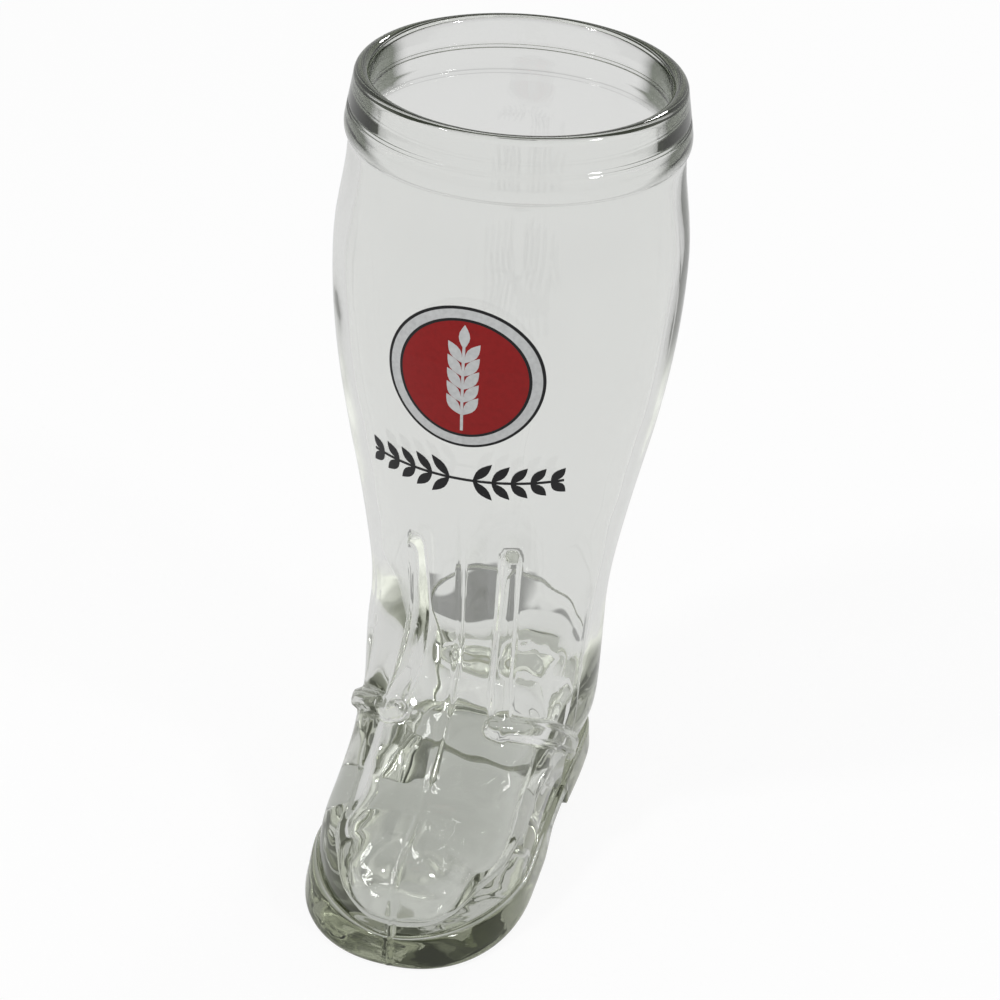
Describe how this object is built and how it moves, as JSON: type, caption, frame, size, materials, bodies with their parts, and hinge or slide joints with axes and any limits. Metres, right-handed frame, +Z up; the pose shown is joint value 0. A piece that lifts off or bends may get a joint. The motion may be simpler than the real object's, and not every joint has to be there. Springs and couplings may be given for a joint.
{
  "type": "boot-shaped beer glass",
  "caption": "Drinking glass shaped as a boot, with a flared collar, a hollow foot on a flat sole and a small enamel print on the leg.",
  "frame": {"origin": "on the table, under the middle of the glass's bounding box; the sole rests on z = 0", "axes": "+Z up along the leg's axis; +Y towards the heel, so the toe points to -Y; x = 0 is the plane of symmetry"},
  "size_m": [0.0866, 0.1326, 0.2],
  "materials": {
    "clear_glass": "clear soda-lime glass, fire polished, with a faint grey-green tint",
    "silver_enamel": "fired silver-white enamel, satin",
    "red_enamel": "fired red enamel, satin",
    "black_enamel": "fired black enamel, satin"
  },
  "bodies": {
    "root": {"glass_boot": "clear_glass", "print_silver": "silver_enamel", "print_red": "red_enamel", "print_black": "black_enamel"}
  },
  "joints": []
}
